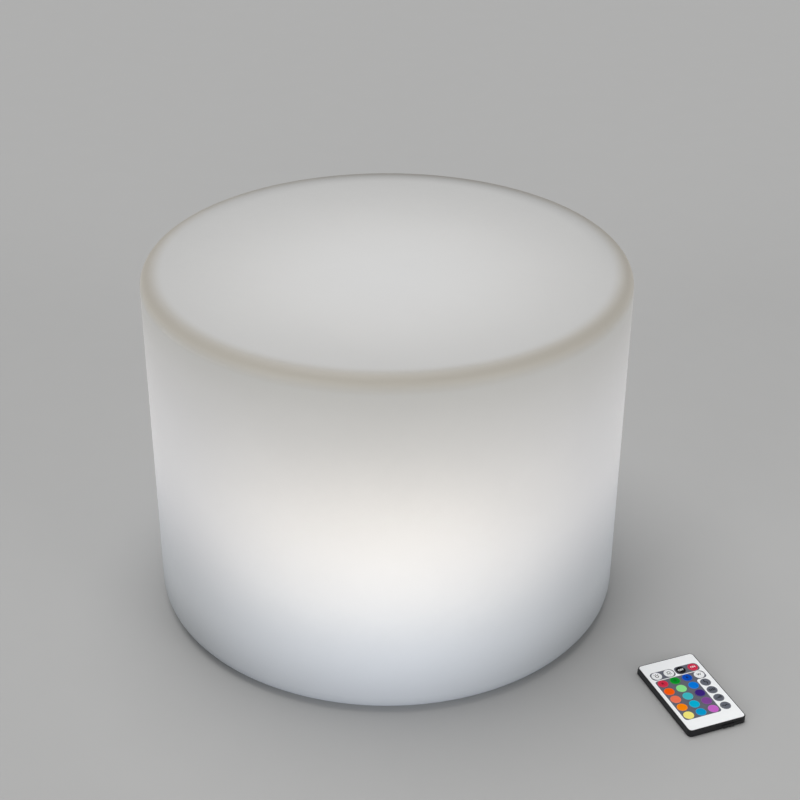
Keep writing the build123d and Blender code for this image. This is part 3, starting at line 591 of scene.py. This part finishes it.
def zone_box(first, last, margins):
    """Lowest and highest corner of a zone, from its first key, top left, to its last."""
    left, right, below, above = (margin * MM for margin in margins)
    start, end = on_remote(key_centre(first)), on_remote(key_centre(last))
    low = Vector((start.x - key_radius - left, end.y - key_radius - below, 0))
    high = Vector((end.x + key_radius + right, start.y + key_radius + above, 0))
    return low, high


def zone_mask(tree, local, low, high, corner):
    """Where a printed zone lies, from its corners and its rounding."""
    patch = place_group(
        tree,
        patch_group,
        Position=local,
        Centre=tuple((low + high) / 2),
        Half_Size=tuple((high - low) / 2),
        Corner=corner,
    )
    return patch.outputs["Mask"]


def printed_film():
    """The remote's white film with its grey zones round the keys."""
    material, tree, shader, position = start_material("printed film", film_white, 0.38)
    local = place_group(tree, remote_group, Position=position).outputs["Local"]
    boxes = []
    for first, last, margins, corner in film_zones:
        boxes.append((*zone_box(first, last, margins), corner * MM))
    masks = [zone_mask(tree, local, *box) for box in boxes]

    # The corner between the two lower zones is rounded as well
    turn = Vector((boxes[2][1].x, boxes[3][0].y, 0))
    half = Vector((inner_corner, inner_corner, 0))
    round_low = turn - Vector((0, 2 * inner_corner, 0))
    round_high = turn + Vector((2 * inner_corner, 0, 0))
    square = zone_mask(tree, local, turn - half, turn + half, 0.01 * MM)
    hollow = zone_mask(tree, local, round_low, round_high, inner_corner)
    masks.append(maths(tree, "MULTIPLY", square, maths(tree, "SUBTRACT", 1.0, hollow)))
    zones = masks[0]
    for mask in masks[1:]:
        zones = maths(tree, "MAXIMUM", zones, mask)
    surface = place_group(tree, grain_group, Position=position, Grain_Size=print_grain, Drift=0.03)
    colour = blend_colour(tree, zones, rgba(film_white), rgba(film_grey))
    colour = blend_colour(tree, 1.0, colour, surface.outputs["Tone"], "MULTIPLY")
    link(tree, colour, shader.inputs["Base Color"])
    add_bump(tree, shader, surface.outputs["Height"], print_depth)
    shader.inputs["Specular IOR Level"].default_value = film_gloss
    return material


def printed_key(name, colour):
    """A key of the film, printed in one colour, with a painted highlight round its raised edge."""
    material, tree, shader, position = start_material("key " + name, colour, 0.38)
    middle = key_centre(name)
    offset = vector_maths(tree, "SUBTRACT", position, (middle.x, middle.y, 0))
    flat = vector_maths(tree, "MULTIPLY", offset, (1, 1, 0))
    radius = vector_maths(tree, "LENGTH", flat, out=1)
    edge = map_range(tree, radius, (1 - key_edge_band) * key_radius, key_radius)
    surface = place_group(tree, grain_group, Position=position, Grain_Size=print_grain, Drift=0.03)
    # Painted highlight: the ink is paler round the key's raised edge
    pale = tuple(part + key_edge_highlight * (1 - part) for part in colour)
    ink = blend_colour(tree, edge, rgba(colour), rgba(pale))
    ink = blend_colour(tree, 1.0, ink, surface.outputs["Tone"], "MULTIPLY")
    link(tree, ink, shader.inputs["Base Color"])
    add_bump(tree, shader, surface.outputs["Height"], print_depth)
    shader.inputs["Specular IOR Level"].default_value = key_gloss
    return material


paint(printed_film(), "overlay_film")
for row in key_rows:
    for name in row:
        paint(printed_key(name, key_colours[name]), "key_" + name)


def deselect():
    """Clears the selection, so that the next operator acts on its own piece alone."""
    bpy.ops.object.select_all(action="DESELECT")


def return_spring(turns=4, wire=0.3 * MM):
    """The switch's spring: a coil of wire, in place of the frame's one, held on the stool."""
    low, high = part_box("switch_spring")
    middle, coil = (low + high) / 2, (high.x - low.x) / 2 - wire
    height = high.z - low.z
    deselect()
    bpy.ops.mesh.primitive_circle_add(
        vertices=12, radius=wire, location=(coil, 0, 0), rotation=(math.pi / 2, 0, 0)
    )
    spring = bpy.context.object
    bpy.ops.object.transform_apply(location=True, rotation=True, scale=True)
    bpy.ops.object.modifier_add(type="SCREW")
    screw = spring.modifiers[-1]
    screw.screw_offset = (height - 2 * wire) / turns
    screw.iterations = turns
    screw.steps = screw.render_steps = 32
    bpy.ops.object.modifier_apply(modifier=screw.name)
    bpy.ops.object.mode_set(mode="EDIT")
    bpy.ops.mesh.select_mode(type="EDGE")
    bpy.ops.mesh.select_all(action="DESELECT")
    bpy.ops.mesh.select_non_manifold()
    bpy.ops.mesh.fill()
    bpy.ops.mesh.select_all(action="SELECT")
    bpy.ops.mesh.normals_make_consistent(inside=False)
    bpy.ops.mesh.faces_shade_smooth()
    bpy.ops.object.mode_set(mode="OBJECT")
    spring.name = spring.data.name = "return_spring"
    spring.location = (middle.x, middle.y, low.z + wire)
    bpy.ops.object.transform_apply(location=True, rotation=True, scale=True)
    spring.data.materials.append(spring_wire)
    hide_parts("switch_spring")
    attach(spring, "stool")
    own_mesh(spring)


return_spring()


# Letters and signs printed on the keys and on the power button: the ink's height, the part of it
# that is sunk, and how much heavier than the font the letters are
ink_height = 0.03 * MM
sink = 0.015 * MM
letter_weight = 0.028


def print_material(name, colour):
    """Ink of a letter or sign, with a slight unevenness."""
    return moulded("ink " + name, colour, 0.4, 0.3 * MM, 0.004 * MM, 0.08, gloss=film_gloss)


inks = {
    "dark": print_material("dark", (0.018, 0.019, 0.024)),
    "white": print_material("white", (0.86, 0.86, 0.87)),
    "red": print_material("red", (0.115, 0.002, 0.008)),
    "green": print_material("green", (0.0, 0.035, 0.008)),
    "blue": print_material("blue", (0.0, 0.008, 0.075)),
}


def finish_print(name, key, ink):
    """Sets the active flat mesh on its key, turned with the remote, and lets it ride there."""
    piece = bpy.context.object
    piece.name = piece.data.name = name
    middle = key_centre(key)
    piece.rotation_euler = (0, 0, remote_turn)
    piece.location = (middle.x, middle.y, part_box("key_" + key)[1].z - sink)
    bpy.ops.object.transform_apply(location=True, rotation=True, scale=True)
    piece.data.materials.clear()
    piece.data.materials.append(inks[ink])
    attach(piece, "button_" + key)


def letters(key, text, size, ink):
    """A word or letter on a key."""
    deselect()
    bpy.ops.object.text_add(location=(0, 0, 0))
    label = bpy.context.object
    label.data.body = text
    label.data.size = size
    label.data.align_x = "CENTER"
    label.data.align_y = "CENTER"
    label.data.offset = letter_weight * size
    label.data.extrude = ink_height / 2
    label.data.resolution_u = 4
    bpy.ops.object.convert(target="MESH")
    bpy.ops.object.mode_set(mode="EDIT")
    bpy.ops.mesh.select_all(action="SELECT")
    bpy.ops.mesh.remove_doubles(threshold=0.0005 * MM)
    bpy.ops.mesh.normals_make_consistent(inside=False)
    bpy.ops.transform.translate(value=(0, 0, ink_height / 2))
    bpy.ops.object.mode_set(mode="OBJECT")
    finish_print("print_" + key, key, ink)


def thicken():
    """Gives the active flat mesh, which faces up, the thickness of the ink."""
    bpy.ops.object.modifier_add(type="SOLIDIFY")
    solidify = bpy.context.object.modifiers[-1]
    solidify.thickness = ink_height
    solidify.offset = 1
    bpy.ops.object.modifier_apply(modifier=solidify.name)


def flat_ring(outer, width, lift, gap=0.0):
    """A flat ring, its middle lifted along Y, with a gap at its top of so many degrees."""
    bpy.ops.mesh.primitive_circle_add(vertices=48, radius=outer, fill_type="NGON")
    ring = bpy.context.object
    bpy.ops.object.mode_set(mode="EDIT")
    bpy.ops.mesh.select_all(action="SELECT")
    bpy.ops.mesh.inset(thickness=width)
    bpy.ops.mesh.delete(type="FACE")
    bpy.ops.mesh.select_all(action="DESELECT")
    bpy.ops.object.mode_set(mode="OBJECT")
    for face in ring.data.polygons:
        off_top = math.degrees(math.atan2(abs(face.center.x), face.center.y))
        face.select = off_top < gap / 2
    bpy.ops.object.mode_set(mode="EDIT")
    bpy.ops.mesh.select_mode(type="FACE")
    bpy.ops.mesh.delete(type="FACE")
    bpy.ops.mesh.select_all(action="SELECT")
    bpy.ops.transform.translate(value=(0, lift, 0))
    bpy.ops.object.mode_set(mode="OBJECT")
    thicken()
    return ring


def flat_bar(centre, length, width, angle=0.0):
    """A flat bar with cut corners, its long side along its angle."""
    bpy.ops.mesh.primitive_plane_add(size=1)
    bar = bpy.context.object
    bar.scale = (length, width, 1)
    bar.rotation_euler = (0, 0, angle)
    bar.location = (*centre, 0)
    bpy.ops.object.transform_apply(location=True, rotation=True, scale=True)
    bpy.ops.object.mode_set(mode="EDIT")
    bpy.ops.mesh.select_all(action="SELECT")
    bpy.ops.mesh.bevel(offset=0.22 * width, affect="VERTICES", segments=2)
    bpy.ops.object.mode_set(mode="OBJECT")
    thicken()
    return bar


def flat_band(length, width, lifts, turn=0.0):
    """A flat band along X whose cross lines are lifted along Y, then turned about its middle."""
    bpy.ops.mesh.primitive_grid_add(x_subdivisions=len(lifts) - 1, y_subdivisions=1, size=1)
    band = bpy.context.object
    band.scale = (length, width, 1)
    bpy.ops.object.transform_apply(location=False, rotation=False, scale=True)
    places = sorted({round(vertex.co.x, 7) for vertex in band.data.vertices})
    for place, lift in zip(places, lifts):
        bpy.ops.object.mode_set(mode="EDIT")
        bpy.ops.mesh.select_all(action="DESELECT")
        bpy.ops.object.mode_set(mode="OBJECT")
        for vertex in band.data.vertices:
            vertex.select = abs(vertex.co.x - place) < 0.001 * MM
        bpy.ops.object.mode_set(mode="EDIT")
        bpy.ops.mesh.select_mode(type="VERT")
        bpy.ops.transform.translate(value=(0, lift, 0))
        bpy.ops.object.mode_set(mode="OBJECT")
    band.rotation_euler = (0, 0, turn)
    bpy.ops.object.transform_apply(location=False, rotation=True, scale=False)
    thicken()


def join_prints(pieces):
    """Joins the parts of one sign."""
    deselect()
    for piece in pieces:
        piece.select_set(True)
    bpy.context.view_layer.objects.active = pieces[0]
    bpy.ops.object.join()


def sun_sign(key, side):
    """A brightness sign: a ring with three rays on one side of it."""
    ring_radius, ring_line = 1.6 * MM, 0.55 * MM
    ray_reach, ray_length, ray_line = 2.6 * MM, 0.9 * MM, 0.52 * MM
    lift = -0.45 * side * MM
    deselect()
    pieces = [flat_ring(ring_radius, ring_line, lift)]
    for step in range(-1, 2):
        angle = math.radians(90 * side + 40 * step)
        centre = (ray_reach * math.cos(angle), lift + ray_reach * math.sin(angle))
        pieces.append(flat_bar(centre, ray_length, ray_line, angle))
    join_prints(pieces)
    finish_print("sign_" + key, key, "dark")


def bar_sign(key, bars):
    """A sign of bars: middle, length and width of each in millimetres, its angle in degrees."""
    deselect()
    pieces = []
    for x, y, length, width, angle in bars:
        pieces.append(flat_bar((x * MM, y * MM), length * MM, width * MM, math.radians(angle)))
    join_prints(pieces)
    finish_print("sign_" + key, key, "dark")


def band_sign(key, length, width, lifts, turn=0.0):
    """A sign made of one bent band."""
    deselect()
    flat_band(length, width, lifts, turn)
    finish_print("sign_" + key, key, "dark")


def power_sign():
    """The sign for on and off, printed on the power button's face and seen from below."""
    deselect()
    radius, line = 1.9 * MM, 0.42 * MM
    pieces = [flat_ring(radius, line, 0, 70)]
    pieces.append(flat_bar((0, 0.62 * radius), 1.25 * radius, line, math.pi / 2))
    join_prints(pieces)
    piece = bpy.context.object
    piece.name = piece.data.name = "sign_power"
    low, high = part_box("power_button")
    piece.rotation_euler = (math.pi, 0, 0)
    piece.location = ((low.x + high.x) / 2, (low.y + high.y) / 2, low.z + sink)
    bpy.ops.object.transform_apply(location=True, rotation=True, scale=True)
    piece.data.materials.clear()
    piece.data.materials.append(inks["white"])
    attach(piece, "button")


letters("off", "OFF", 2.9 * MM, "white")
letters("on", "ON", 2.9 * MM, "white")
for key, text, ink in (
    ("red", "R", "red"),
    ("green", "G", "green"),
    ("blue", "B", "blue"),
    ("white", "W", "dark"),
):
    letters(key, text, 3.4 * MM, ink)
sun_sign("brighter", 1)
sun_sign("dimmer", -1)
zigzag = [0.75 * MM * (-1) ** step for step in range(4)]
wave = [0.6 * MM * math.sin(2 * math.pi * step / 12) for step in range(22)]
band_sign("flash", 5.2 * MM, 1.15 * MM, zigzag, math.radians(-65))
columns = (-2.1, -0.7, 0.7, 2.1)
bar_sign("strobe", [(x, 0, 2.8, 0.9, 90) for x in columns])
bar_sign("fade", [(x, 0.4 * h - 1.0, 0.8 * h, 0.95, 90) for h, x in enumerate(columns, start=1)])
band_sign("smooth", 5.2 * MM, 0.95 * MM, wave)
power_sign()


# Floor, light and camera: the floor is so wide, and the world beyond it so even, that no edge shows
floor_colour = (0.45, 0.45, 0.447)
floor_radius = 14.0
world_strength = 0.42

# Distant lights: the way each comes from, its width in degrees, and the part of a colour's written
# value that it gives on a face turned to it
distant_lights = {
    "overhead": ((-0.139, 0.172, 0.976), 45, 0.45),
    "front left": ((-2.4, -2.6, 1.2), 24, 0.15),
    "front right": ((2.6, -2.4, 1.0), 24, 0.17),
}


def make_floor():
    """The plain pale floor, which isn't part of the object."""
    deselect()
    bpy.ops.mesh.primitive_circle_add(vertices=96, radius=floor_radius, fill_type="NGON")
    floor = bpy.context.object
    floor.name = "floor"
    material, tree, shader, position = start_material("pale floor", floor_colour, 0.75)
    shader.inputs["Specular IOR Level"].default_value = 0.0
    surface = place_group(tree, grain_group, Position=position, Grain_Size=4 * MM, Drift=0.02)
    tone = blend_colour(tree, 1.0, rgba(floor_colour), surface.outputs["Tone"], "MULTIPLY")
    link(tree, tone, shader.inputs["Base Color"])
    floor.data.materials.append(material)


def make_world():
    """Even light from all round, seen as bright as the floor is."""
    world = bpy.data.worlds.new("studio")
    bpy.context.scene.world = world
    world.use_nodes = True
    tree = world.node_tree
    background = tree.nodes["Background"]
    background.inputs["Strength"].default_value = world_strength
    background.inputs["Color"].default_value = (1, 1, 1, 1)
    seen = tree.nodes.new("ShaderNodeBackground")
    level = world_strength
    for way, _, share in distant_lights.values():
        level += share * Vector(way).normalized().z
    seen.inputs["Color"].default_value = rgba([level * part for part in floor_colour])
    path = tree.nodes.new("ShaderNodeLightPath")
    rays = maths(
        tree,
        "MAXIMUM",
        path.outputs["Is Camera Ray"],
        maths(tree, "MAXIMUM", path.outputs["Is Glossy Ray"], path.outputs["Is Transmission Ray"]),
    )
    mix = tree.nodes.new("ShaderNodeMixShader")
    link(tree, rays, mix.inputs[0])
    tree.links.new(background.outputs[0], mix.inputs[1])
    tree.links.new(seen.outputs[0], mix.inputs[2])
    tree.links.new(mix.outputs[0], tree.nodes["World Output"].inputs[0])


def make_lights():
    """Three wide distant lights, so that no pool of light shows on the floor."""
    for name, (way, width, share) in distant_lights.items():
        data = bpy.data.lights.new(name, "SUN")
        data.angle = math.radians(width)
        data.energy = share * math.pi
        light = bpy.data.objects.new(name, data)
        light.rotation_euler = Vector(way).to_track_quat("Z", "Y").to_euler()
        bpy.context.scene.collection.objects.link(light)


def make_camera():
    """The camera at the photograph's viewing angle, aimed at the drum's middle."""
    data = bpy.data.cameras.new("view")
    data.lens = view_lens
    data.shift_x, data.shift_y = view_shift
    camera = bpy.data.objects.new("view", data)
    camera.location = (
        0,
        -view_distance * math.cos(view_elevation),
        drum_height / 2 + view_distance * math.sin(view_elevation),
    )
    camera.rotation_euler = (math.pi / 2 - view_elevation, 0, 0)
    bpy.context.scene.collection.objects.link(camera)
    bpy.context.scene.camera = camera


make_floor()
make_world()
make_lights()
make_camera()
bpy.context.scene.view_settings.view_transform = "Standard"
